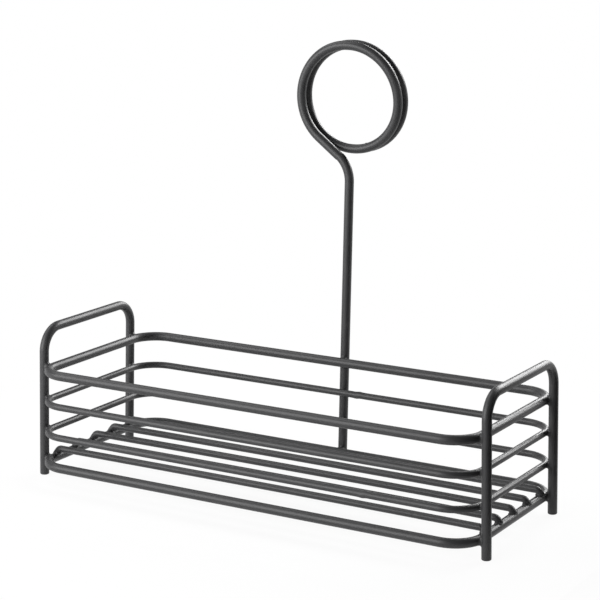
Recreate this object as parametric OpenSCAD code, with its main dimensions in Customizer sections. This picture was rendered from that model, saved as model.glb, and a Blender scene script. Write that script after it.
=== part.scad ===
// Wire rack for sugar packets. Four hoops and five floor wires are welded between
// two end frames, and a post at the back ends in a two-turn ring that grips a card.
// Long side along X, front towards -Y, feet on Z = 0.

/* [Wire] */
// Diameter of the heavy wire: end frames, top rim, base rail and card post
heavy_d = 4.5; // [3.8:0.1:5.2]
// Diameter of the light wire: the two middle rails and the floor
light_d = 3.3; // [2.8:0.1:3.8]
// How far two heavy wires sink into each other at a weld
heavy_sink = 0.4; // [0.3:0.05:0.9]
// How far a light wire and a heavy wire sink into each other at a weld
light_sink = 0.15; // [0.1:0.05:0.5]

/* [Hoops] */
// Length of the base rail, between the centres of its end bars
hoop_l = 231; // [190:0.2:270]
// Width of the rim and base rail, between the centres of their long bars
hoop_w = 93.2; // [86:0.2:100]
// Bend radius at the hoop corners, to the centre of the heavy wire
corner_r = 13.8; // [12:0.2:16]
// Height of the base rail's centre above the table
base_z = 8.2; // [6:0.1:10]
// Height from the centre of one hoop to the centre of the next
rail_pitch = 15.4; // [12:0.1:16.5]

/* [End frames] */
// Distance between the two legs of an end frame, centre to centre
leg_spacing = 72.4; // [66:0.2:76]
// Height of the end frames above the table
frame_h = 75.4; // [72:0.1:88]
// Bend radius at the top of the end frames, to the centre of the wire
frame_r = 11.1; // [9:0.1:13]
// Lean of the end frames from upright, which brings their tops closer together
frame_lean = 1.4; // [0:0.1:2]
// Bevel around the cut end of each foot
foot_bevel = 0.6; // [0.3:0.1:0.9]

/* [Floor] */
// Distance between the centres of neighbouring floor wires
floor_pitch = 15.3; // [12:0.1:15.6]
// How far a floor wire runs past the centre of the end bar that carries it
floor_overhang = 1; // [0.5:0.1:1.4]

/* [Card post] */
// Height of the top of the card ring above the table
card_h = 211.8; // [180:0.2:240]
// Diameter of the card ring, to the centre of the wire
ring_d = 50.4; // [44:0.2:56]
// Distance between the two turns of the ring, centre to centre
ring_pitch = 5.8; // [5.7:0.1:7]
// Offset of the ring's centre from the middle of the rack, towards the right end
ring_x = 0.8; // [-2:0.1:4]
// Length of the straight stretch between two halves of the ring
ring_flat = 0.6; // [0.5:0.1:1.5]
// Angle from the ring's lowest point at which the wire leaves it for the post
ring_start = 37; // [30:0.5:45]
// Angle before the lowest point at which the second turn is cut off
ring_stop = 8; // [4:1:30]
// Bend radius between the post and the ring, to the centre of the wire
post_bend_r = 15.8; // [12:0.2:18]
// Lean of the post from upright, towards the right end
post_lean = 0.95; // [0:0.05:2]
// How far the post runs below the centre of the base rail
post_tail = 2.4; // [2:0.1:4]

/* [Hidden] */
$fn = 64;
FLOOR_COUNT = 5;

coat = [0.17, 0.17, 0.175];

// The wire of each hoop, from the base rail up to the rim
RAIL_D = [heavy_d, light_d, light_d, heavy_d];
BASE = 0;
LOWER = BASE + 1;
RIM = len(RAIL_D) - 1;
UPPER = RIM - 1;
base_corner_x = hoop_l / 2 - corner_r;
corner_y = hoop_w / 2 - corner_r;
// A light hoop is made larger, so that it meets the legs and the post too
light_grow = (heavy_d - light_d) / 2 - (heavy_sink - light_sink);

function rail_r(i) = corner_r + (RAIL_D[i] == light_d ? light_grow : 0);
function rail_z(i) = base_z + i * rail_pitch;
// The hoops grow shorter upwards, as the end frames lean in, by steps of a bending stop
stop_step = 0.05;
function lean_in(i) = stop_step * round((rail_z(i) - base_z) * tan(frame_lean) / stop_step);
function corner_x(i) = base_corner_x - lean_in(i);

// On a leaning wire the straight stretches are a hair thicker than the bends, which reach
// a short way into them, so that each joint along the wire is clean
lap = 0.2;
straight_extra = 0.02;
straight_d = heavy_d + straight_extra;
function lap_angle(r) = lap / r * 180 / PI;

// The legs stand outside the end bars, where the hoop corners begin to turn
leg_y = leg_spacing / 2;
leg_past_bar = max(0, leg_y - corner_y);
leg_x = base_corner_x + sqrt(pow(corner_r + heavy_d - heavy_sink, 2) - pow(leg_past_bar, 2));
// Along a leaning leg, from the base rail's height up to the top bar and down to the cut end,
// whose inner edge touches the table
bar_up = (frame_h - straight_d / 2 - base_z) / cos(frame_lean);
leg_down = (base_z - (straight_d / 2 - foot_bevel) * sin(frame_lean)) / cos(frame_lean);

floor_z = base_z + (heavy_d + light_d) / 2 - light_sink;
floor_half_l = hoop_l / 2 + floor_overhang;
floor_mid = (FLOOR_COUNT + 1) / 2;

// The post stands behind the back bars
post_y = hoop_w / 2 + heavy_d - heavy_sink;
ring_r = ring_d / 2;
ring_z = card_h - heavy_d / 2 - ring_r;
// The ring's left halves stand upright, and its right halves lean back by one pitch
half_lean = atan2(ring_pitch / 2, ring_r);
half_r = norm([ring_r, ring_pitch / 2]);
half_turn = 180;
ring_left_x = ring_x - ring_flat / 2;
ring_right_x = ring_x + ring_flat / 2;

// Where the straight run from the ring meets the post's own line, in X and Z
run_dir = [-cos(ring_start), sin(ring_start)];
post_dir = [sin(post_lean), cos(post_lean)];
post_slope = tan(post_lean);
run_end = [ring_left_x - ring_r * sin(ring_start), ring_z - ring_r * cos(ring_start)];
run_l = ((run_end.y - base_z) * post_slope - run_end.x) / (cos(ring_start) + sin(ring_start) * post_slope);
post_corner = run_end - run_l * run_dir;
bend_turn = 90 - ring_start - post_lean;
bend_tangent = post_bend_r * tan(bend_turn / 2);
post_top = post_corner - bend_tangent * post_dir;
run_foot = post_corner + bend_tangent * run_dir;
bend_centre = post_top + post_bend_r * [-cos(post_lean), sin(post_lean)];
post_foot = post_top - post_dir * (post_top.y - base_z + post_tail) / post_dir.y;

// Front and back of the whole rack: its middle is set on Y = 0
rack_front = hoop_w / 2 + max(heavy_d, light_d + 2 * light_grow) / 2;
rack_back = post_y + ring_pitch * (1.5 + cos(ring_stop) / 2) + heavy_d / 2;
mid_y = (rack_back - rack_front) / 2;

// A point on the ring's centre line, by its angle from the lowest point
function ring_point(a) =
    let (turn = floor(a / 360), late = a - 360 * turn > half_turn)
    [
        late ? ring_right_x - half_r * sin(a) : ring_left_x - ring_r * sin(a),
        post_y + ring_pitch * (turn + (late ? (1 + cos(a)) / 2 : 0)),
        ring_z - ring_r * cos(a)
    ];
gap_step = 7.5;
ring_points = [for (a = [ring_start:gap_step:720 - ring_stop]) ring_point(a)];
run_steps = 6;
run_points = [
    for (k = [0:run_steps - 1])
        let (p = run_foot + (run_end - run_foot) * k / run_steps) [p.x, post_y, p.y]
];
card_points = concat(run_points, ring_points);
// Points this far apart along the wire belong to different turns
gap_skip = half_turn / gap_step;
turn_gap = min([
    for (i = [0:len(card_points) - 1], j = [i + gap_skip:len(card_points) - 1])
        norm(card_points[i] - card_points[j])
]) - heavy_d;
echo(str("least gap between the turns of the card ring, mm: ", turn_gap));

module placed() translate([0, -mid_y, 0]) color(coat) children();

// A straight length of wire between two points
module rod(from, to, d) {
    v = to - from;
    translate(from)
        rotate([0, acos(v.z / norm(v)), atan2(v.y, v.x)])
            cylinder(h = norm(v), d = d);
}

// A bent length of wire about the Z axis, starting on +X
module bend(r, angle, d) rotate_extrude(angle = angle) translate([r, 0]) circle(d = d);

// A bend of the heavy wire, lapped into its neighbours at both ends
module lapped_bend(r, start, angle) {
    rotate(start - lap_angle(r)) bend(r, angle + 2 * lap_angle(r), heavy_d);
}

// One end of a hoop: its end bar and two corners
module hoop_end(i) {
    bar_x = corner_x(i) + rail_r(i);
    translate([0, 0, rail_z(i)]) {
        rod([bar_x, -corner_y, 0], [bar_x, corner_y, 0], RAIL_D[i]);
        translate([corner_x(i), corner_y, 0]) bend(rail_r(i), 90, RAIL_D[i]);
        translate([corner_x(i), -corner_y, 0]) rotate(-90) bend(rail_r(i), 90, RAIL_D[i]);
    }
}

// The long bar of a hoop: side is 1 at the back and -1 at the front
module hoop_bar(i, side) {
    y = side * (corner_y + rail_r(i));
    rod([-corner_x(i), y, rail_z(i)], [corner_x(i), y, rail_z(i)], RAIL_D[i]);
}

module hoop(i) {
    hoop_end(i);
    mirror([1, 0, 0]) hoop_end(i);
    hoop_bar(i, 1);
    hoop_bar(i, -1);
}

// A leg of the upright end frame, turned with its bevelled cut end
module leg(side) {
    leg_r = straight_d / 2;
    leg_h = leg_down + bar_up - frame_r;
    translate([0, side * leg_y, -leg_down])
        rotate_extrude()
            polygon([[0, 0], [leg_r - foot_bevel, 0], [leg_r, foot_bevel], [leg_r, leg_h], [0, leg_h]]);
}

// The right end frame before it leans, about the height of the base rail
module upright_frame() {
    bend_y = leg_y - frame_r;
    for (side = [-1, 1]) {
        leg(side);
        translate([0, side * bend_y, bar_up - frame_r])
            rotate([90, 0, 90])
                lapped_bend(frame_r, side > 0 ? 0 : 90, 90);
    }
    rod([0, -bend_y, bar_up], [0, bend_y, bar_up], straight_d);
}

// The right end frame, with a seat in each leg where a hoop is welded on
module end_frame() {
    difference() {
        translate([leg_x, 0, base_z]) rotate([0, -frame_lean, 0]) upright_frame();
        for (i = [BASE:RIM]) hoop_end(i);
    }
}

// A bend of the card post in the XZ plane
module post_bend(r, start, angle) rotate([90, 0, 0]) lapped_bend(r, start, angle);

// A straight stretch of the card post, between two points in X and Z
module post_straight(from, to, y = post_y) {
    rod([from.x, y, from.y], [to.x, y, to.y], straight_d);
}

// The short straight between two halves of the ring, at its top or its bottom
module ring_joint(y, z) post_straight([ring_left_x, z], [ring_right_x, z], y);

// A left half of the ring, upright, from its top to the given angle before the bottom
module ring_left(y, short) {
    translate([ring_left_x, y, ring_z]) post_bend(ring_r, 90, half_turn - short);
}

// A right half of the ring, which leans back by one pitch from its top to its bottom
module ring_right(y, short) {
    translate([ring_right_x, y + ring_pitch / 2, ring_z])
        rotate([half_lean, 0, 0])
            post_bend(half_r, short - 90, half_turn - short);
}

module right_end_frame() placed() end_frame();

module left_end_frame() placed() mirror([1, 0, 0]) end_frame();

module top_rim() placed() hoop(RIM);

module upper_rail() placed() hoop(UPPER);

module lower_rail() placed() hoop(LOWER);

module base_rail() placed() hoop(BASE);

// A floor wire, counted from the back, with a seat over each end bar
module floor_wire(n) placed() {
    y = (floor_mid - n) * floor_pitch;
    difference() {
        rod([-floor_half_l, y, floor_z], [floor_half_l, y, floor_z], light_d);
        hoop_end(BASE);
        mirror([1, 0, 0]) hoop_end(BASE);
    }
}

// The post with its ring, with a seat in the post for each back bar
module card_post() placed() {
    second_y = post_y + ring_pitch;
    difference() {
        union() {
            post_straight(post_foot, post_top);
            translate([bend_centre.x, post_y, bend_centre.y])
                post_bend(post_bend_r, -post_lean, bend_turn);
            post_straight(run_foot, run_end);
            ring_left(post_y, ring_start);
            ring_joint(post_y, ring_z + ring_r);
            ring_right(post_y, 0);
            ring_joint(second_y, ring_z - ring_r);
            ring_left(second_y, 0);
            ring_joint(second_y, ring_z + ring_r);
            ring_right(second_y, ring_stop);
        }
        for (i = [BASE:RIM]) hoop_bar(i, 1);
    }
}

left_end_frame();
right_end_frame();
top_rim();
upper_rail();
lower_rail();
base_rail();
for (i = [1:FLOOR_COUNT]) floor_wire(i);
card_post();
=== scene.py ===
# %% [markdown]
# # Dressing a coated wire rack
# The real thing is a table rack for sugar packets. Steel wire in two thicknesses is bent, welded
# together and powder-coated satin black. A post at the back ends in a ring that grips a card.
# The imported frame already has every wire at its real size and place. This lesson gives each wire
# a smooth swept surface, adds the welds and the coat, and then lights and frames the rack.

import bmesh
import bpy
import numpy as np
from mathutils import Matrix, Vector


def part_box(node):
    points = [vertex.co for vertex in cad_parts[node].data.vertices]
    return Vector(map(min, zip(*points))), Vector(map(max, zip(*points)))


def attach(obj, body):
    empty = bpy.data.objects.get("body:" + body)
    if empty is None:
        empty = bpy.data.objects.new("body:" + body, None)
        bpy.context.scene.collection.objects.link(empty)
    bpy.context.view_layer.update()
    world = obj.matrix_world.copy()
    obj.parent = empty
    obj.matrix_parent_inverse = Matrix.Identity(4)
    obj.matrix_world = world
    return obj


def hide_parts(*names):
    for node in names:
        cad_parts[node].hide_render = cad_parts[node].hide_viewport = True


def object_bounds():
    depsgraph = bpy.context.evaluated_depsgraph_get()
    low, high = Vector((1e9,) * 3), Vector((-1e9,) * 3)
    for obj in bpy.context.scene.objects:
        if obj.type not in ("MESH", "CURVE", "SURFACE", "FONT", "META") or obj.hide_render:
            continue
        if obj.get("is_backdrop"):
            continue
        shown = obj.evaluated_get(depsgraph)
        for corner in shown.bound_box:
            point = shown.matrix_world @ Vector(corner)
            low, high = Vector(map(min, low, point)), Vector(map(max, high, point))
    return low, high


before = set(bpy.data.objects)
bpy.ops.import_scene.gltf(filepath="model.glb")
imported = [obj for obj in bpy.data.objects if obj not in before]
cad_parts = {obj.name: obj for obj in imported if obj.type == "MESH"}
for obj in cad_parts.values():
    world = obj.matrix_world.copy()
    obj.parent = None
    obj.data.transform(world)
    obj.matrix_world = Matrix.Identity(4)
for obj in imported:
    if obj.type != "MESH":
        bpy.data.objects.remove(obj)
cad_low, cad_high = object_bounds()
print("frame:", len(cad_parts), "wires, size in metres", [round(x, 4) for x in cad_high - cad_low])

# %% [markdown]
# ## Reading the sizes
# A wire's place can be typed in again or read from the frame. Reading it is safer, because the
# drawing then follows the frame by itself. A flat hoop is as thick as its wire, so its box gives
# the wire's diameter, and the box shrunk by one radius gives the wire's centre line.
# A box can't tell how a wire bends or leans, so those sizes are named where they are first needed.

# %% Measure the wires
MM = 0.001


def span(node):
    """The lowest and highest corner of a node's box."""
    low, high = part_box(node)
    return np.array(low), np.array(high)


def thickness(node):
    """How thick a flat hoop is, which is the diameter of its wire."""
    low, high = span(node)
    return high[2] - low[2]


HEAVY_R = thickness("top_rim") / 2
LIGHT_R = thickness("upper_rail") / 2
HOOPS = {"top_rim": HEAVY_R, "upper_rail": LIGHT_R, "lower_rail": LIGHT_R, "base_rail": HEAVY_R}
END_FRAMES = ["left_end_frame", "right_end_frame"]
FLOOR_WIRES = sorted(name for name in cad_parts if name.startswith("floor_wire"))
print("heavy wire", round(2 * HEAVY_R / MM, 2), "mm, light wire", round(2 * LIGHT_R / MM, 2), "mm")

# %% [markdown]
# ## A wire is a circle carried along a path
# A wire could be a Curve object with a round bevel, but a curve's ends are flat and its thickness
# is hard to vary. Here a path is an array of points with an array of directions, made of straight
# runs and arcs as on a wire bending bench. A circle at every point then makes a grid of vertices.

# %% Straight runs, arcs and chains
STRAIGHT_STEP = 6 * MM
ARC_STEP = np.radians(4)
X, Y, Z = np.eye(3)


def straight(start, end, step=STRAIGHT_STEP):
    """Points spaced evenly from start to end, all with the same direction."""
    start, end = np.array(start, float), np.array(end, float)
    length = np.linalg.norm(end - start)
    share = np.linspace(0, 1, max(2, int(np.ceil(length / step)) + 1))[:, None]
    points = start + share * (end - start)
    return points, np.broadcast_to((end - start) / length, points.shape)


def arc(centre, radius, first, last, right, up):
    """Points at centre + radius * (cos a * right + sin a * up), as a goes from first to last."""
    angle = np.linspace(first, last, int(np.ceil(abs(last - first) / ARC_STEP)) + 1)[:, None]
    points = centre + radius * (np.cos(angle) * right + np.sin(angle) * up)
    return points, np.sign(last - first) * (np.cos(angle) * up - np.sin(angle) * right)


def chain(*stretches, closed=False):
    """One path from stretches that meet end to end. The point that two of them share is kept once."""
    cuts = [None if part is stretches[-1] and not closed else -1 for part in stretches]
    points = np.concatenate([part[0][:cut] for part, cut in zip(stretches, cuts)])
    directions = np.concatenate([part[1][:cut] for part, cut in zip(stretches, cuts)])
    return points, directions


print("a quarter bend has", len(arc(0 * X, 1, 0, np.pi / 2, X, Y)[0]), "points")

# %% Carry a circle along a path
SIDES = 40


def sweep(points, directions, radii, across):
    """A circle round every point of a path: point + r * (cos t * side + sin t * top), with side and
    top square to the path's direction. across is a vector that the path never runs along, and it
    sets where each circle starts."""
    side = np.cross(directions, across)
    side /= np.linalg.norm(side, axis=1, keepdims=True)
    top = np.cross(side, directions)
    turn = np.linspace(0, 2 * np.pi, SIDES, endpoint=False)[None, :, None]
    rings = np.cos(turn) * side[:, None] + np.sin(turn) * top[:, None]
    return points[:, None] + np.reshape(radii, (-1, 1, 1)) * rings


flat_share = 1 - np.cos(np.pi / SIDES)
print("a heavy wire's flats lie", round(HEAVY_R * flat_share / MM, 4), "mm inside its circle")

# %% Make a mesh from grids
MERGE_DISTANCE = 1e-7


def grid_faces(rows, columns, closed):
    """Quads between neighbouring rows of a grid whose columns run round in a loop."""
    row = np.arange(rows if closed else rows - 1)[:, None]
    column = np.arange(columns)[None, :]
    next_row, next_column = (row + 1) % rows, (column + 1) % columns
    corners = [row * columns + column, row * columns + next_column,
               next_row * columns + next_column, next_row * columns + column]
    return np.stack(np.broadcast_arrays(*corners), axis=-1).reshape(-1, 4)


def outward(grid, faces):
    """The faces of a grid, turned round if they point inwards. Over quads with corners a, b, c and d,
    the sum of a . (b x c + c x d) is six times the volume inside, and inward faces make it negative."""
    a, b, c, d = np.moveaxis(grid.reshape(-1, 3)[faces], 1, 0)
    volume = (a * (np.cross(b, c) + np.cross(c, d))).sum() / 6
    return faces if volume > 0 else faces[:, ::-1]


def surface(name, grids, closed):
    """A smooth mesh object from one or more grids of vertices, with poles merged and faces outward."""
    vertices = np.concatenate([grid.reshape(-1, 3) for grid in grids])
    starts = np.cumsum([0] + [grid.shape[0] * grid.shape[1] for grid in grids])
    faces = np.concatenate([outward(grid, grid_faces(*grid.shape[:2], closed)) + start
                            for grid, start in zip(grids, starts)])
    mesh = bpy.data.meshes.new(name)
    mesh.from_pydata(vertices.tolist(), [], faces.tolist())
    work = bmesh.new()
    work.from_mesh(mesh)
    bmesh.ops.remove_doubles(work, verts=work.verts, dist=MERGE_DISTANCE)
    work.to_mesh(mesh)
    work.free()
    mesh.shade_smooth()
    piece = bpy.data.objects.new(name, mesh)
    bpy.context.scene.collection.objects.link(piece)
    return piece


print("ten circles make", len(grid_faces(10, SIDES, closed=False)), "faces")

# %% [markdown]
# ## Cut ends
# Each open wire was sheared to length, deburred and coated, so its end is a flat disc with a
# rounded edge. A Bevel modifier could round it, but the sweep can do it alone: a few circles of
# growing radius are stacked at the end of the path.

# %% Round off a cut end
EDGE_R = 0.6 * MM
EDGE_STEPS = 6


def cut_ends(path, radius):
    """Points, directions and radii of an open wire. Each end is a disc with a quarter round:
    at depth e * (1 - cos a) the radius is r - e + e * sin a, as a goes from 0 to 90 degrees."""
    points, directions = path
    angle = np.linspace(0, np.pi / 2, EDGE_STEPS)
    depth = np.concatenate([[0], EDGE_R * (1 - np.cos(angle))])[:, None]
    rise = np.concatenate([[0], radius - EDGE_R + EDGE_R * np.sin(angle)])
    head = points[0] + depth * directions[0]
    tail = points[-1] - depth[::-1] * directions[-1]
    middle = points[1:-1]
    radii = np.concatenate([rise, np.full(len(middle), radius), rise[::-1]])
    ends = [np.broadcast_to(d, head.shape) for d in (directions[0], directions[-1])]
    return (np.concatenate([head, middle, tail]),
            np.concatenate([ends[0], directions[1:-1], ends[1]]), radii)


print("cut ends: a quarter round of", round(EDGE_R / MM, 2), "mm in", EDGE_STEPS, "circles")

# %% [markdown]
# ## The coat
# The finish is polyester powder coat, sprayed on dry over the welded rack and baked. It flows into
# a satin skin with a faint ripple called orange peel. A flat black would look like a hole in the
# picture, so the colour is a dark neutral grey, and the soft sheen comes from the roughness.

# %% Colours and nodes


def linear(hex_colour):
    """An sRGB hex colour as linear red, green, blue and alpha. A channel c becomes c / 12.92 where
    it is very dark, and ((c + 0.055) / 1.055)^2.4 elsewhere."""
    channels = np.array([int(hex_colour[i:i + 2], 16) for i in (1, 3, 5)]) / 255
    curve = np.where(channels <= 0.04045, channels / 12.92, ((channels + 0.055) / 1.055) ** 2.4)
    return (*curve.tolist(), 1.0)


def add(tree, kind, links=None, **settings):
    """Adds one node. settings name its sockets by their labels, or its own properties in lower case,
    and links are the outputs that feed its sockets."""
    node = tree.nodes.new(kind)
    for name, value in settings.items():
        label = name.replace("_", " ")
        if label in node.inputs:
            node.inputs[label].default_value = value
        else:
            setattr(node, name, value)
    for label, output in (links or {}).items():
        tree.links.new(output, node.inputs[label])
    return node


print("the grey #808080 is", round(linear("#808080")[0], 3), "in linear light")

# %% Satin black powder coat
PEEL_MM = 0.9
PEEL_DEPTH_MM = 0.01
CLOUD_MM = 14
CLOUD_LOW, CLOUD_HIGH = 0.3, 0.7
ROUGH_LOW, ROUGH_HIGH = 0.39, 0.45
COAT_TONES = {CLOUD_LOW: "#313132", CLOUD_HIGH: "#373738"}


def powder_coat():
    """Dark grey polyester with a satin gloss. Its index is about 1.5, and a matting agent in the
    powder dulls its reflection. The fine noise is the orange peel, drawn a little coarser than the
    real half millimetre so that it shows, and the broad noise is uneven flow."""
    material = bpy.data.materials.new("satin_black_powder_coat")
    material.use_nodes = True
    tree = material.node_tree
    shader = tree.nodes["Principled BSDF"]
    shader.inputs["IOR"].default_value = 1.5
    shader.inputs["Specular IOR Level"].default_value = 0.34
    place = add(tree, "ShaderNodeTexCoord").outputs["Object"]
    peel = add(tree, "ShaderNodeTexNoise", {"Vector": place}, Scale=1 / (PEEL_MM * MM), Detail=0.0)
    cloud = add(tree, "ShaderNodeTexNoise", {"Vector": place}, Scale=1 / (CLOUD_MM * MM), Detail=3.0)
    tone = add(tree, "ShaderNodeValToRGB", {"Fac": cloud.outputs["Fac"]})
    for stop, (position, colour) in zip(tone.color_ramp.elements, COAT_TONES.items()):
        stop.position = position
        stop.color = linear(colour)
    gloss = add(tree, "ShaderNodeMapRange", {"Value": cloud.outputs["Fac"]},
                From_Min=CLOUD_LOW, From_Max=CLOUD_HIGH, To_Min=ROUGH_LOW, To_Max=ROUGH_HIGH)
    ripple = add(tree, "ShaderNodeBump", {"Height": peel.outputs["Fac"]},
                 Strength=0.1, Distance=PEEL_DEPTH_MM * MM)
    tree.links.new(tone.outputs["Color"], shader.inputs["Base Color"])
    tree.links.new(gloss.outputs["Result"], shader.inputs["Roughness"])
    tree.links.new(ripple.outputs["Normal"], shader.inputs["Normal"])
    return material


COAT = powder_coat()
print("coat:", COAT.name)

# %% [markdown]
# ## Hoops
# The basket's sides are four closed hoops of wire, each bent at four corners. A hoop is four bars
# and four quarter circles, joined into a closed path. Its two ends are butt-welded. On the light
# rails that weld shows: the wire swells a little, and the two ends don't quite line up. A bevelled
# curve could draw the hoop but not the weld, and in arrays both are a line or two.

# %% Lay out a hoop
CORNER_R = 13.8 * MM
HOOP_STEP = 1 * MM
hoop_centre = sum(span("top_rim")) / 2
CORNER_Y = (span("top_rim")[1] - hoop_centre)[1] - HEAVY_R - CORNER_R


def hoop_sizes(node):
    """The hoop's middle, the bend radius of its corners, and how far along X their centres lie."""
    low, high = span(node)
    centre = (low + high) / 2
    bend = high[1] - HOOPS[node] - CORNER_Y - centre[1]
    return centre, bend, high[0] - HOOPS[node] - bend - centre[0]


def hoop_path(node):
    """A rounded rectangle at the hoop's height: a corner and then the bar after it, four times.
    Corner k turns from k to k + 1 quarter turns, and its bar runs on from there to the next corner."""
    centre, bend, corner_x = hoop_sizes(node)
    stretches = []
    quarter = np.pi / 2
    corners = [(1, 1), (-1, 1), (-1, -1), (1, -1)]
    for k, (sx, sy) in enumerate(corners):
        corner = centre + [sx * corner_x, sy * CORNER_Y, 0]
        stretches.append(arc(corner, bend, k * quarter, (k + 1) * quarter, X, Y))
        next_sx, next_sy = corners[(k + 1) % len(corners)]
        next_corner = centre + [next_sx * corner_x, next_sy * CORNER_Y, 0]
        aside = bend * np.array([np.cos((k + 1) * quarter), np.sin((k + 1) * quarter), 0])
        stretches.append(straight(corner + aside, next_corner + aside, HOOP_STEP))
    return chain(*stretches, closed=True)


print("rim corners bend with a radius of", round(hoop_sizes("top_rim")[1] / MM, 2), "mm")

# %% Butt-weld a hoop's ends
WELD_W = 1.8 * MM
WELD_SWELL = 0.15 * MM
WELD_STEP = 0.28 * MM
FRONT, BACK = -1, 1
BUTT_WELDS = {"upper_rail": (BACK, 10.4 * MM), "lower_rail": (FRONT, 64.8 * MM)}


def butt_weld(points, radius, side, x):
    """Radii and points of a hoop with a butt weld at x, on its front bar or its back bar. With
    g = exp(-(d / w)^2) at distance d from the weld, the radius grows by swell * g, and z shifts by
    step * (d / w) * g."""
    away = (points[:, 0] - x) / WELD_W
    on_bar = side * (points[:, 1] - hoop_centre[1]) > CORNER_Y
    bell = np.where(on_bar, np.exp(-away ** 2), 0)
    return radius + WELD_SWELL * bell, points + (WELD_STEP * away * bell)[:, None] * Z


print("butt welds show on", " and ".join(BUTT_WELDS))

# %% Sweep the four hoops
ROOT = "root"


def finish_piece(piece, node=None):
    """Gives a piece its coat, lets it ride on the rack, and hides the node that it stands for."""
    piece.data.materials.append(COAT)
    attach(piece, ROOT)
    if node:
        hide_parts(node)


for node, radius in HOOPS.items():
    points, directions = hoop_path(node)
    radii = np.full(len(points), radius)
    if node in BUTT_WELDS:
        radii, points = butt_weld(points, radius, *BUTT_WELDS[node])
    grid = sweep(points, directions, radii, Z)
    finish_piece(surface(node + "_wire", [grid], closed=True), node)
    print(node, "swept with", len(points), "circles")

# %% [markdown]
# ## End frames
# Each end frame is one wire: up, over and down, with its cut ends as feet. The two frames lean in a
# little towards each other. A flat frame could be made and then turned, but its path is easy to
# write on the leaning plane itself, and the mesh then needs no turning.

# %% Sweep the end frames
FRAME_R = 11.1 * MM
FRAME_LEAN = np.radians(1.4)
FOOT_FLAT_R = HEAVY_R - EDGE_R


def legs(node):
    """The y of an end frame's two legs, the direction in which they lean, and their foot at y = 0."""
    low, high = span(node)
    side = np.sign(low[0])
    lean = np.array([-side * np.sin(FRAME_LEAN), 0, np.cos(FRAME_LEAN)])
    foot_x = max(abs(low[0]), abs(high[0])) - HEAVY_R * np.cos(FRAME_LEAN)
    foot = np.array([side * foot_x, 0, low[2] + FOOT_FLAT_R * np.sin(FRAME_LEAN)])
    return (low[1] + HEAVY_R, high[1] - HEAVY_R), lean, foot


def end_frame_path(node):
    """Two legs and a top bar, joined by two quarter circles. The frame's plane leans in, so a
    place on it is its foot + y across + length * lean."""
    (front, back), lean, foot = legs(node)
    length = (span(node)[1][2] - HEAVY_R - foot[2]) / lean[2]

    def at(y, up):
        return foot + [0, y, 0] + up * lean

    return chain(
        straight(at(front, 0), at(front, length - FRAME_R)),
        arc(at(front + FRAME_R, length - FRAME_R), FRAME_R, np.pi, np.pi / 2, Y, lean),
        straight(at(front + FRAME_R, length), at(back - FRAME_R, length)),
        arc(at(back - FRAME_R, length - FRAME_R), FRAME_R, np.pi / 2, 0, Y, lean),
        straight(at(back, length - FRAME_R), at(back, 0)),
    )


for node in END_FRAMES:
    grid = sweep(*cut_ends(end_frame_path(node), HEAVY_R), X)
    finish_piece(surface(node + "_wire", [grid], closed=False), node)
    print(node, "swept with", len(grid), "circles")

# %% [markdown]
# ## Floor wires
# The floor is five straight wires that lie on the base rail. The welding electrodes pressed their
# hot ends down over the end bars, so each end has a short drooping nose, and the wire between them
# lies a fraction of a millimetre higher. The noses are arcs in the same path, so that each floor
# wire stays one unbroken surface.

# %% Sweep the floor wires
FLOOR_LIFT = 0.35 * MM
FLOOR_BOW = 0.3 * MM
NOSE_START = 3.35 * MM
NOSE_R = 2.2 * MM
NOSE_TURN = np.radians(52)
NOSE_L = 2.5 * MM


def floor_path(node):
    """A straight wire whose two ends turn down by NOSE_TURN into the end bars. It lies higher than
    its node by FLOOR_LIFT + FLOOR_BOW * (1 - s^2), with s from -1 to 1 along it."""
    low, high = span(node)
    middle = (low + high) / 2
    middle[2] = high[2] - LIGHT_R
    half = high[0] - NOSE_START
    lower = half * X - NOSE_R * Z
    upright = np.pi / 2
    right = arc(middle + lower, NOSE_R, upright, upright - NOSE_TURN, X, Z)
    left = arc(middle + lower * [-1, 1, 1], NOSE_R, upright + NOSE_TURN, upright, X, Z)
    points, directions = chain(
        straight(left[0][0] - NOSE_L * left[1][0], left[0][0]), left,
        straight(middle - half * X, middle + half * X), right,
        straight(right[0][-1], right[0][-1] + NOSE_L * right[1][-1]),
    )
    share = np.clip((points[:, :1] - middle[0]) / half, -1, 1)
    return points + (FLOOR_LIFT + FLOOR_BOW * (1 - share ** 2)) * Z, directions


for node in FLOOR_WIRES:
    grid = sweep(*cut_ends(floor_path(node), LIGHT_R), Z)
    finish_piece(surface(node + "_wire", [grid], closed=False), node)
print("basket floor:", len(FLOOR_WIRES), "wires")

# %% [markdown]
# ## Card post
# The post rises behind the basket, bends left, and winds twice round into the card ring. A helix
# would lean everywhere. On the real ring each turn stands upright on its left half and steps back
# on its right half, so the path is four half circles, and the right ones lean back by one pitch.

# %% Measure the card post
RING_R = 25.2 * MM
RING_PITCH = 5.8 * MM
RING_FLAT = 0.6 * MM
post_low, post_high = span("card_post")
post_y = post_low[1] + HEAVY_R
ring_z = post_high[2] - HEAVY_R - RING_R
ring_left = post_low[0] + HEAVY_R + RING_R
ring_right = ring_left + RING_FLAT
lean_r = np.hypot(RING_R, RING_PITCH / 2)
base_z = hoop_sizes("base_rail")[0][2]
print("ring: centre", round(ring_z / MM, 1), "mm up, post: at y =", round(post_y / MM, 1), "mm")

# %% Wind the ring


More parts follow.
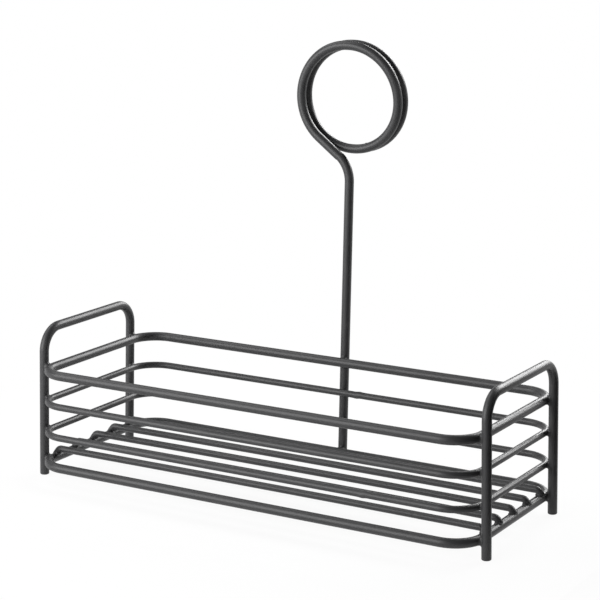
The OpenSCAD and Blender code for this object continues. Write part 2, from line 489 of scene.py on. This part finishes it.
def ring_half(turn, late, first, last):
    """Half a turn of the ring. At angle a from the lowest point, x is the centre - r * sin a and
    z is the centre - r * cos a. On a late half y also steps back by pitch * (1 + cos a) / 2, and x
    takes the leaning circle's radius, the square root of r^2 + (pitch / 2)^2."""
    angle = np.linspace(first, last, int(np.ceil((last - first) / ARC_STEP)) + 1)
    middle, radius = (ring_right, lean_r) if late else (ring_left, RING_R)
    step, slope = ((1 + np.cos(angle)) / 2, -np.sin(angle) / 2) if late else (0 * angle, 0 * angle)
    points = np.stack([middle - radius * np.sin(angle), post_y + RING_PITCH * (turn + step),
                       ring_z - RING_R * np.cos(angle)], axis=1)
    directions = np.stack([-radius * np.cos(angle), RING_PITCH * slope, RING_R * np.sin(angle)], axis=1)
    return points, directions / np.linalg.norm(directions, axis=1, keepdims=True)


def ring_flat(turn, z):
    """The short straight from a left half to a right half at the top, or back at the bottom."""
    left, right = [np.array([x, post_y + RING_PITCH * turn, z]) for x in (ring_left, ring_right)]
    return straight(left, right) if z > ring_z else straight(right, left)


print("between the ring's turns there are", round((RING_PITCH - 2 * HEAVY_R) / MM, 2), "mm for a card")

# %% Sweep the card post
RING_START = np.radians(37)
RING_STOP = np.radians(8)
POST_BEND_R = 15.8 * MM
POST_LEAN = np.radians(0.95)


def card_post_path():
    """The post's line and the run's line meet at a corner, which an arc tangent to both rounds off.
    For a bend of radius r through an angle t, the arc starts r * tan(t / 2) before the corner."""
    run_end = np.array([ring_left - RING_R * np.sin(RING_START), ring_z - RING_R * np.cos(RING_START)])
    run = np.array([-np.cos(RING_START), np.sin(RING_START)])
    post = np.array([np.sin(POST_LEAN), np.cos(POST_LEAN)])
    slope = np.tan(POST_LEAN)
    reach = ((run_end[1] - base_z) * slope - run_end[0]) / (run[1] * slope - run[0])
    corner = run_end - reach * run
    turn = np.pi / 2 - RING_START - POST_LEAN
    tangent = POST_BEND_R * np.tan(turn / 2)
    top = corner - tangent * post
    centre = top + POST_BEND_R * np.array([-post[1], post[0]])
    foot = top - post * (top[1] - post_low[2]) / post[1]
    full, half = 2 * np.pi, np.pi

    def at(place):
        return np.array([place[0], post_y, place[1]])

    return chain(
        straight(at(foot), at(top)),
        arc(at(centre), POST_BEND_R, -POST_LEAN, turn - POST_LEAN, X, Z),
        straight(at(corner + tangent * run), at(run_end)),
        ring_half(0, False, RING_START, half),
        ring_flat(0, ring_z + RING_R),
        ring_half(0, True, half, full),
        ring_flat(1, ring_z - RING_R),
        ring_half(1, False, 0, half),
        ring_flat(1, ring_z + RING_R),
        ring_half(1, True, half, full - RING_STOP),
    )


post_path = card_post_path()
grid = sweep(*cut_ends(post_path, HEAVY_R), Y)
finish_piece(surface("card_post_wire", [grid], closed=False), "card_post")
post_l = np.linalg.norm(np.diff(post_path[0], axis=0), axis=1).sum()
print("card post:", round(post_l / MM), "mm of wire")

# %% [markdown]
# ## Welds
# Every crossing was pressed between two electrodes until the wires fused. A little metal was pushed
# out round the joint, and the coat ran into the corner, so a soft fillet goes all round it. Imagine
# a small ball that rolls round the crossing and touches both wires: the groove under it is the fillet.
# A Bevel modifier would need the wires joined into one mesh, and here each wire stays its own piece.
# The fillet's size wavers a little, because no two welds are alike.

# %% Roll a ball round a crossing
BEAD_R = {HEAVY_R: 0.9 * MM, LIGHT_R: 0.65 * MM}
BEAD_STEPS = 64
BEAD_SIDES = 9
BEAD_SINK = 0.15 * MM
BEAD_ROOT = 1.1 * MM
WAVER = (0.12, 0.08)
WAVER_RATE = 0.9 / MM


def waver(turn, spot):
    """How a weld's size varies round it: 1 + p * sin(2t + phase) + q * sin(3t - phase). The phase
    comes from the weld's place, so each weld differs."""
    phase = WAVER_RATE * spot.sum()
    return 1 + WAVER[0] * np.sin(2 * turn + phase) + WAVER[1] * np.sin(3 * turn - phase)


def bead(spot, run, radius, wire_spot, wire_run, wire_radius, curve=0.0):
    """The fillet between a bar and a wire that crosses it at height h. With a along the bar, b along
    the wire and t from bar to wire, the ball's centre keeps b^2 + t^2 = (bar's radius + ball)^2 and
    a^2 + (h - t)^2 = (wire's radius + ball)^2. The section is an arc of the ball, closed at a root
    inside the wires. curve is how sharply the bar bends away from the wire."""
    height = np.linalg.norm(wire_spot - spot)
    frame_axes = np.stack([run, wire_run, (wire_spot - spot) / height])
    turn = np.linspace(0, 2 * np.pi, BEAD_STEPS, endpoint=False)
    ball = BEAD_R[min(radius, wire_radius)] * waver(turn, spot)
    far, wire_far = radius + ball, wire_radius + ball
    a = np.sqrt(wire_far ** 2 - (height - far) ** 2) * np.cos(turn)
    t = height - np.sqrt(wire_far ** 2 - a ** 2)
    b = np.sign(np.sin(turn)) * np.sqrt(np.maximum(far ** 2 - t ** 2, 0))
    centre = np.stack([a, b, t], axis=1)
    to_bar = np.stack([0 * a, -b, -t], axis=1) / far[:, None]
    to_wire = np.stack([-a, 0 * b, height - t], axis=1) / wire_far[:, None]
    angle = np.arccos((to_bar * to_wire).sum(axis=1))[:, None, None]
    share = np.linspace(0, 1, BEAD_SIDES)[None, :, None]
    groove = np.sin((1 - share) * angle) * to_bar[:, None] + np.sin(share * angle) * to_wire[:, None]
    groove /= np.sin(angle)
    section = centre[:, None] + ball[:, None, None] * groove
    section[:, :, 2] -= (1 - share[:, :, 0]) * a[:, None] ** 2 * curve / 2
    sunk = [section[:, :1] + BEAD_SINK * to_bar[:, None],
            section[:, -1:] + BEAD_SINK * to_wire[:, None]]
    inward = to_bar + to_wire
    inward /= np.linalg.norm(inward, axis=1, keepdims=True)
    root = centre + (ball + BEAD_ROOT)[:, None] * inward
    section = np.concatenate([sunk[0], section, sunk[1], root[:, None]], axis=1)
    return spot + section @ frame_axes


print("balls under the fillets, mm:", [round(ball / MM, 2) for ball in BEAD_R.values()])

# %% Weld the legs to the hoops


def leg_bead(frame_node, leg_y, hoop):
    """A leg touches a hoop from outside on the bend of its corner. From the corner's centre it is
    reach to the leg's centre line and bend to the hoop's, so the two lie reach - bend apart."""
    _, lean, foot = legs(frame_node)
    centre, bend, corner_x = hoop_sizes(hoop)
    leg = foot + [0, leg_y, 0] + lean * (centre[2] - foot[2]) / lean[2]
    corner = centre + [np.sign(foot[0]) * corner_x, np.sign(leg_y - centre[1]) * CORNER_Y, 0]
    reach = np.linalg.norm(leg - corner)
    away = leg - corner
    away -= (away @ lean) * lean
    away /= np.linalg.norm(away)
    return bead(leg - (reach - bend) * away, np.cross(lean, away), HOOPS[hoop],
                leg, lean, HEAVY_R, curve=1 / (bend + HOOPS[hoop]))


for node in END_FRAMES:
    grids = [leg_bead(node, leg_y, hoop) for leg_y in legs(node)[0] for hoop in HOOPS]
    finish_piece(surface(node.replace("frame", "welds"), grids, closed=True))
    print(node, "has", len(grids), "welds")

# %% Weld the post to the hoops
post_run = np.array([np.sin(POST_LEAN), 0, np.cos(POST_LEAN)])
grids = []
for hoop in HOOPS:
    centre, bend, _ = hoop_sizes(hoop)
    spot = np.array([(centre[2] - base_z) * np.tan(POST_LEAN), centre[1] + CORNER_Y + bend, centre[2]])
    crossing = np.array([spot[0], post_y, spot[2]])
    grids.append(bead(spot, np.cross(post_run, Y), HOOPS[hoop], crossing, post_run, HEAVY_R))
finish_piece(surface("post_welds", grids, closed=True))
print("card post has", len(grids), "welds")

# %% [markdown]
# ## Nuggets under the noses
# Under the noses of the floor wires the metal was squeezed out sideways, into a flat nugget that the
# nose sinks into. A rolled ball can't follow a nose that turns down, so a nugget is a flat egg that
# lies mostly inside the two wires, and only its rim shows.

# %% Squeeze a nugget out under each nose
NUGGET_HALF = np.array([2.0, 2.8, 1.3]) * MM
NUGGET_RISE = 1.75 * MM
NUGGET_ROWS = 15


def nugget(spot):
    """A flat egg at spot + half sizes * (cos u cos v, sin u cos v, sin v), with u once round it and v
    from pole to pole. Its girth wavers with u."""
    u = np.linspace(0, 2 * np.pi, SIDES, endpoint=False)[None, :]
    v = np.linspace(-np.pi / 2, np.pi / 2, NUGGET_ROWS)[:, None]
    girth = np.cos(v) * waver(u, spot)
    egg = np.stack([girth * np.cos(u), girth * np.sin(u), np.sin(v) + 0 * u], axis=-1)
    return spot + NUGGET_HALF * egg


centre, bend, corner_x = hoop_sizes("base_rail")
grids = []
for node in FLOOR_WIRES:
    low, high = span(node)
    for side in (-1, 1):
        spot = np.array([side * (corner_x + bend), (low[1] + high[1]) / 2, centre[2] + NUGGET_RISE])
        grids.append(nugget(spot))
finish_piece(surface("floor_welds", grids, closed=False))
print("basket floor has", len(grids), "nuggets")

# %% [markdown]
# ## Camera
# The picture was taken with a long lens from the front right, a little above the rack. The angles
# and the distance were found once by lining up the wires, and the rest follows from them. A Track To
# constraint could aim the camera, but a matrix of its three axes also holds the slight roll.

# %% Place the camera
PICTURE_PX = 600
FOCAL_PX = 1969.8
VIEW_AZIMUTH = np.radians(30.14)
VIEW_ELEVATION = np.radians(12.55)
VIEW_ROLL = np.radians(0.29)
VIEW_DISTANCE = 919.6 * MM
AIM_X, AIM_Z = 4.41 * MM, 95.18 * MM


def facing(right, up, back, spot):
    """The matrix of an object at spot, whose X, Y and Z axes run along right, up and back."""
    rows = np.eye(4)
    rows[:3, :] = np.column_stack([right, up, back, spot])
    return Matrix(rows.tolist())


back = np.array([np.sin(VIEW_AZIMUTH) * np.cos(VIEW_ELEVATION),
                 -np.cos(VIEW_AZIMUTH) * np.cos(VIEW_ELEVATION), np.sin(VIEW_ELEVATION)])
level = np.cross(Z, back) / np.linalg.norm(np.cross(Z, back))
upward = np.cross(back, level)
right = np.cos(VIEW_ROLL) * level + np.sin(VIEW_ROLL) * upward
aim = np.array([AIM_X, hoop_centre[1], AIM_Z])
camera_data = bpy.data.cameras.new("camera")
camera_data.lens = camera_data.sensor_width * FOCAL_PX / PICTURE_PX
camera = bpy.data.objects.new("camera", camera_data)
camera.matrix_world = facing(right, np.cross(back, right), back, aim + VIEW_DISTANCE * back)
bpy.context.scene.collection.objects.link(camera)
bpy.context.scene.camera = camera
print("camera: lens", round(camera_data.lens, 1), "mm")

# %% [markdown]
# ## Floor
# The rack stands on a white studio floor. A flat plane would end in a horizon, so the floor is round
# and its edge curves up into a wall on every side. It is evenly white to the camera and in
# reflections, but near the rack it keeps a part of its real shading, so the rack's shadow stays.

# %% White board
TABLE_KEEP = 0.12
SHADE_REACH = 0.25


def seen_directly(tree):
    """One where a ray comes from the camera, a reflection or glass, and zero for other light."""
    path = add(tree, "ShaderNodeLightPath").outputs
    first = add(tree, "ShaderNodeMath", {0: path["Is Camera Ray"], 1: path["Is Glossy Ray"]},
                operation="MAXIMUM")
    return add(tree, "ShaderNodeMath", {0: first.outputs[0], 1: path["Is Transmission Ray"]},
               operation="MAXIMUM")


def white_table():
    """Matte white board, lifted to even white where it is seen. Near the rack it keeps a share of
    its real shading, which fades out at SHADE_REACH metres."""
    material = bpy.data.materials.new("white_table")
    material.use_nodes = True
    tree = material.node_tree
    board = tree.nodes["Principled BSDF"]
    board.inputs["Base Color"].default_value = linear("#e6e6e6")
    board.inputs["Roughness"].default_value = 0.9
    board.inputs["Specular IOR Level"].default_value = 0.0
    white = add(tree, "ShaderNodeEmission", Strength=1.0)
    place = add(tree, "ShaderNodeTexCoord").outputs["Object"]
    scaled = add(tree, "ShaderNodeVectorMath", {0: place}, operation="SCALE", Scale=1 / SHADE_REACH)
    near = add(tree, "ShaderNodeTexGradient", {"Vector": scaled.outputs[0]}, gradient_type="SPHERICAL")
    lift = add(tree, "ShaderNodeMapRange", {"Value": near.outputs["Fac"]},
               To_Min=1.0, To_Max=1 - TABLE_KEEP)
    share = add(tree, "ShaderNodeMath", {0: seen_directly(tree).outputs[0], 1: lift.outputs["Result"]},
                operation="MULTIPLY")
    mix = add(tree, "ShaderNodeMixShader",
              {"Fac": share.outputs[0], 1: board.outputs[0], 2: white.outputs[0]})
    tree.links.new(mix.outputs[0], tree.nodes["Material Output"].inputs["Surface"])
    return material


print("board: keeps", TABLE_KEEP, "of its shading beside the rack")

# %% Round floor
TABLE_R = 6.0
COVE_R = 2.5
COVE_STEPS = 24
COVE_SIDES = 160


def round_cove():
    """A round floor whose edge turns up into a wall. Its outline goes out to TABLE_R, then along a
    quarter circle of COVE_R, and is turned once round the Z axis."""
    rise = np.linspace(0, np.pi / 2, COVE_STEPS)
    out = np.concatenate([[0], TABLE_R + COVE_R * np.sin(rise)])[:, None]
    high = np.concatenate([[0], COVE_R * (1 - np.cos(rise))])[:, None]
    turn = np.linspace(0, 2 * np.pi, COVE_SIDES, endpoint=False)[None, :]
    return np.stack([out * np.cos(turn), out * np.sin(turn), high + 0 * turn], axis=-1)


# The floor is seen from above and from inside its wall, so its faces are turned that way
table = surface("table", [round_cove()], closed=False)
table.data.flip_normals()
table.data.materials.append(white_table())
table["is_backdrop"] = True
print("studio floor:", 2 * (TABLE_R + COVE_R), "m wide")

# %% [markdown]
# ## Light
# Round satin wires are drawn by what they reflect. A small lamp would leave thin, hard lines on them,
# so the lamps are large soft boxes. One at the front left lights the long bars evenly. One behind
# draws the bright lines along the end bars, and one above on the left softens the tops.

# %% Soft boxes


def soft_box(name, azimuth, elevation, distance, width, height, brightness):
    """A rectangular lamp that faces the rack. Its power is brightness * pi * area, so that
    brightness is what a mirror would show. Azimuth 0 is behind the rack and 90 is on its right."""
    data = bpy.data.lights.new(name, "AREA")
    data.shape = "RECTANGLE"
    data.size, data.size_y = width, height
    data.energy = brightness * np.pi * width * height
    lamp = bpy.data.objects.new(name, data)
    a, e = np.radians(azimuth), np.radians(elevation)
    towards = np.array([np.sin(a) * np.cos(e), np.cos(a) * np.cos(e), np.sin(e)])
    across = np.cross(Z, towards) / np.linalg.norm(np.cross(Z, towards))
    lamp.matrix_world = facing(across, np.cross(towards, across), towards, aim + distance * towards)
    lamp.visible_camera = False
    bpy.context.scene.collection.objects.link(lamp)


soft_box("back_box", azimuth=13, elevation=28, distance=1.3,
         width=1.1, height=0.55, brightness=13.5)
soft_box("front_left_box", azimuth=-147, elevation=17, distance=0.85,
         width=0.75, height=0.7, brightness=6.0)
soft_box("upper_left_box", azimuth=-85, elevation=55, distance=1.4,
         width=1.0, height=0.9, brightness=2.9)

# %% [markdown]
# ## Dark card and room
# White all round would flatten round wires. Photographers put a dark card beside dark things on
# white, and one on the right keeps that side of each wire dark here. A lamp can't take light away,
# so the card is a real sheet that only the camera doesn't see. The room beyond the floor is dim.

# %% Dark card and room
CARD_X = 0.165
CARD_FRONT = -0.28
CARD_BACK = 0.06
CARD_H = 0.16
ROOM_GREY = 0.08


def dark_card():
    """An upright sheet of dark grey felt that stands on the floor to the right of the rack. Only the
    camera looks through it, so that a view from the right isn't blocked."""
    mesh = bpy.data.meshes.new("dark_card")
    outline = [(CARD_FRONT, 0), (CARD_BACK, 0), (CARD_BACK, CARD_H), (CARD_FRONT, CARD_H)]
    mesh.from_pydata([(CARD_X, y, z) for y, z in outline], [], [(0, 1, 2, 3)])
    material = bpy.data.materials.new("dark_felt")
    material.use_nodes = True
    felt = material.node_tree.nodes["Principled BSDF"]
    felt.inputs["Base Color"].default_value = linear("#484848")
    felt.inputs["Specular IOR Level"].default_value = 0.0
    mesh.materials.append(material)
    card = bpy.data.objects.new("dark_card", mesh)
    card.visible_camera = False
    bpy.context.scene.collection.objects.link(card)
    return card


dark_card()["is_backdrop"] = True
world = bpy.data.worlds.new("room")
world.use_nodes = True
world.node_tree.nodes["Background"].inputs["Color"].default_value = (ROOM_GREY, ROOM_GREY, ROOM_GREY, 1)
bpy.context.scene.world = world
bpy.context.scene.view_settings.view_transform = "Standard"
card_gap = CARD_X - cad_high[0]
print("card:", round(CARD_BACK - CARD_FRONT, 2), "m long,", round(card_gap, 3), "m from the rack")

# %% [markdown]
# ## Size
# The dressed rack should fill the same box as the frame, so the difference of the two boxes is printed.

# %% Compare the boxes
low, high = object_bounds()
growth = [round((b - a) / MM, 3) for a, b in zip(cad_high - cad_low, high - low)]
print("visual box minus frame box, mm:", growth)
